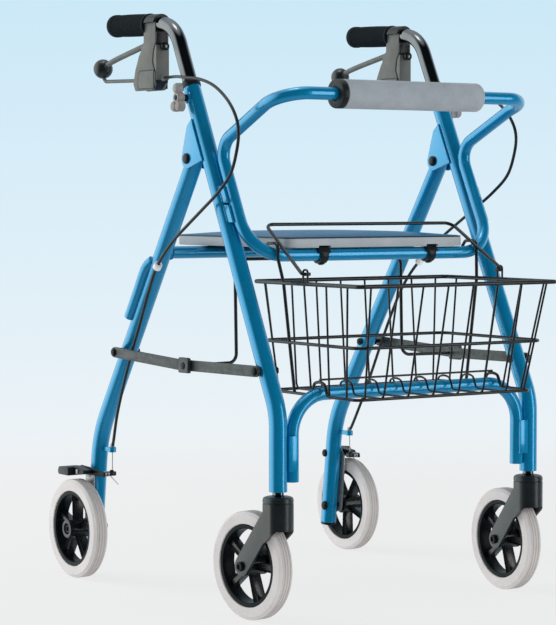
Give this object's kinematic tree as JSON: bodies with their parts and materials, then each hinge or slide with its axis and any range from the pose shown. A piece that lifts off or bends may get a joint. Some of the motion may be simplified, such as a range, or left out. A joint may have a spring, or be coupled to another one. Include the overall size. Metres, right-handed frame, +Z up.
{
  "type": "four-wheel rollator",
  "caption": "Folding walking frame on four spoked wheels with a padded seat, backrest bar, wire basket, height-adjustable handles and loop brakes.",
  "frame": {"origin": "on the floor, under the middle of the frame's bounding box", "axes": "+Z up, +X to the user's left, -Y forwards (casters and basket), +Y to the user"},
  "size_m": [0.553, 0.7065, 0.8632],
  "materials": {
    "blue_enamel": "glossy metallic blue enamel on steel tube",
    "chrome": "polished plating",
    "grey_steel": "dull zinc-plated steel",
    "black_plastic": "satin moulded plastic",
    "grey_plastic": "satin moulded plastic",
    "black_wire": "black dipped coating on steel wire",
    "grey_foam": "dull closed-cell foam",
    "seat_vinyl": "fine-grained coated fabric over foam",
    "tyre": "smooth pale grey rubber"
  },
  "bodies": {
    "front_frame": {"seat_back_loop": "blue_enamel", "lower_cross_tube": "blue_enamel", "backrest_pad": "grey_foam", "front_leg_right": "blue_enamel", "front_leg_left": "blue_enamel", "pivot_gusset_right": "blue_enamel", "pivot_gusset_left": "blue_enamel", "leg_top_collar_right": "black_plastic", "leg_top_collar_left": "black_plastic", "pivot_bolt_right": "grey_steel", "pivot_bolt_left": "grey_steel", "front_brace_bolt_right": "grey_steel", "front_brace_bolt_left": "grey_steel"},
    "rear_frame": {"rear_rail": "blue_enamel", "rear_leg_right": "blue_enamel", "rear_leg_left": "blue_enamel", "cable_guard_right": "blue_enamel", "cable_guard_left": "blue_enamel", "axle_plate_right": "grey_steel", "axle_plate_left": "grey_steel", "rear_brace_bolt_right": "grey_steel", "rear_brace_bolt_left": "grey_steel", "brake_cable_right": "black_plastic", "brake_cable_left": "black_plastic"},
    "front_braces": {"front_brace_right": "grey_steel", "front_brace_left": "grey_steel"},
    "rear_braces": {"rear_brace_right": "grey_steel", "rear_brace_left": "grey_steel"},
    "fold_rod": {"fold_rod": "black_wire"},
    "seat": {"seat_cushion": "seat_vinyl", "seat_board": "black_plastic", "seat_clip_right": "black_plastic", "seat_clip_left": "black_plastic"},
    "basket": {"basket": "black_wire"},
    "basket_handle": {"basket_handle": "black_wire"},
    "handle_right": {"handle_tube_right": "chrome", "handle_grip_right": "black_plastic", "brake_housing_right": "grey_plastic"},
    "clamp_knob_right": {"clamp_knob_right": "grey_plastic"},
    "brake_lever_right": {"brake_lever_right": "grey_plastic"},
    "brake_arm_right": {"brake_arm_right": "black_plastic"},
    "caster_right": {"caster_fork_right": "black_plastic", "front_axle_right": "grey_steel"},
    "front_wheel_right": {"front_tyre_right": "tyre", "front_rim_right": "black_plastic"},
    "rear_wheel_right": {"rear_tyre_right": "tyre", "rear_rim_right": "black_plastic"},
    "handle_left": {"handle_tube_left": "chrome", "handle_grip_left": "black_plastic", "brake_housing_left": "grey_plastic"},
    "clamp_knob_left": {"clamp_knob_left": "grey_plastic"},
    "brake_lever_left": {"brake_lever_left": "grey_plastic"},
    "brake_arm_left": {"brake_arm_left": "black_plastic"},
    "caster_left": {"caster_fork_left": "black_plastic", "front_axle_left": "grey_steel"},
    "front_wheel_left": {"front_tyre_left": "tyre", "front_rim_left": "black_plastic"},
    "rear_wheel_left": {"rear_tyre_left": "tyre", "rear_rim_left": "black_plastic"}
  },
  "joints": [
    {"name": "frame_fold", "type": "hinge", "parent": "front_frame", "child": "rear_frame", "pos_m": [0, -0.0158, 0.643], "axis": [-1, 0, 0], "range_deg": [0, 29], "deforming": ["brake_cable_right", "brake_cable_left"]},
    {"name": "front_brace_fold", "type": "hinge", "parent": "front_frame", "child": "front_braces", "pos_m": [0, -0.201, 0.3485], "axis": [1, 0, 0], "range_deg": [0, 46.7]},
    {"name": "rear_brace_fold", "type": "hinge", "parent": "rear_frame", "child": "rear_braces", "pos_m": [0, 0.177, 0.354], "axis": [-1, 0, 0], "range_deg": [0, 36.6]},
    {"name": "fold_rod_turn", "type": "hinge", "parent": "front_braces", "child": "fold_rod", "pos_m": [0, -0.0235, 0.346], "axis": [-1, 0, 0], "range_deg": [0, 46.7]},
    {"name": "seat_tilt", "type": "hinge", "parent": "front_frame", "child": "seat", "pos_m": [0, -0.1485, 0.506], "axis": [1, 0, 0], "range_deg": [0, 60.1]},
    {"name": "basket_lift", "type": "slide", "parent": "front_frame", "child": "basket", "axis": [0, 0, 1], "range_m": [0, 0.022]},
    {"name": "basket_handle_swing", "type": "hinge", "parent": "basket", "child": "basket_handle", "pos_m": [0, -0.222, 0.4815], "axis": [1, 0, 0], "range_deg": [0, 60.1]},
    {"name": "handle_height_right", "type": "slide", "parent": "front_frame", "child": "handle_right", "axis": [0, 0.4417, 0.8972], "range_m": [-0.05, 0.05], "deforming": ["brake_cable_right"]},
    {"name": "clamp_knob_turn_right", "type": "hinge", "parent": "front_frame", "child": "clamp_knob_right", "pos_m": [-0.2435, -0.01314, 0.73], "axis": [1, 0, 0], "continuous": true},
    {"name": "brake_lever_squeeze_right", "type": "hinge", "parent": "handle_right", "child": "brake_lever_right", "pos_m": [-0.2225, 0.112, 0.765], "axis": [1, 0, 0], "range_deg": [0, 10], "stiffness_Nm_per_rad": 1},
    {"name": "brake_arm_press_right", "type": "hinge", "parent": "rear_frame", "child": "brake_arm_right", "pos_m": [-0.2225, 0.2775, 0.1635], "axis": [-1, 0, 0], "range_deg": [0, 17]},
    {"name": "caster_swivel_right", "type": "hinge", "parent": "front_frame", "child": "caster_right", "pos_m": [-0.2225, -0.229, 0], "axis": [0, 0, 1], "continuous": true},
    {"name": "front_wheel_roll_right", "type": "hinge", "parent": "caster_right", "child": "front_wheel_right", "pos_m": [-0.22878, -0.17386, 0.076], "axis": [0.9936, 0.1132, 0], "continuous": true},
    {"name": "rear_wheel_roll_right", "type": "hinge", "parent": "rear_frame", "child": "rear_wheel_right", "pos_m": [-0.2565, 0.2775, 0.076], "axis": [1, 0, 0], "continuous": true},
    {"name": "handle_height_left", "type": "slide", "parent": "front_frame", "child": "handle_left", "axis": [0, 0.4417, 0.8972], "range_m": [-0.05, 0.05], "deforming": ["brake_cable_left"]},
    {"name": "clamp_knob_turn_left", "type": "hinge", "parent": "front_frame", "child": "clamp_knob_left", "pos_m": [0.2435, -0.01314, 0.73], "axis": [1, 0, 0], "continuous": true},
    {"name": "brake_lever_squeeze_left", "type": "hinge", "parent": "handle_left", "child": "brake_lever_left", "pos_m": [0.2225, 0.112, 0.765], "axis": [1, 0, 0], "range_deg": [0, 10], "stiffness_Nm_per_rad": 1},
    {"name": "brake_arm_press_left", "type": "hinge", "parent": "rear_frame", "child": "brake_arm_left", "pos_m": [0.2225, 0.2775, 0.1635], "axis": [-1, 0, 0], "range_deg": [0, 17]},
    {"name": "caster_swivel_left", "type": "hinge", "parent": "front_frame", "child": "caster_left", "pos_m": [0.2225, -0.229, 0], "axis": [0, 0, 1], "continuous": true},
    {"name": "front_wheel_roll_left", "type": "hinge", "parent": "caster_left", "child": "front_wheel_left", "pos_m": [0.22589, -0.1736, 0.076], "axis": [0.9981, -0.061, 0], "continuous": true},
    {"name": "rear_wheel_roll_left", "type": "hinge", "parent": "rear_frame", "child": "rear_wheel_left", "pos_m": [0.2565, 0.2775, 0.076], "axis": [1, 0, 0], "continuous": true}
  ],
  "couplings": [
    {"joint": "front_brace_fold", "follows": "frame_fold", "ratio": 1.61},
    {"joint": "rear_brace_fold", "follows": "frame_fold", "ratio": 1.262},
    {"joint": "fold_rod_turn", "follows": "frame_fold", "ratio": 1.61},
    {"joint": "seat_tilt", "follows": "frame_fold", "ratio": 2.069},
    {"joint": "basket_handle_swing", "follows": "frame_fold", "ratio": 2.069},
    {"joint": "brake_arm_press_right", "follows": "brake_lever_squeeze_right", "ratio": 1.7},
    {"joint": "brake_arm_press_left", "follows": "brake_lever_squeeze_left", "ratio": 1.7}
  ]
}
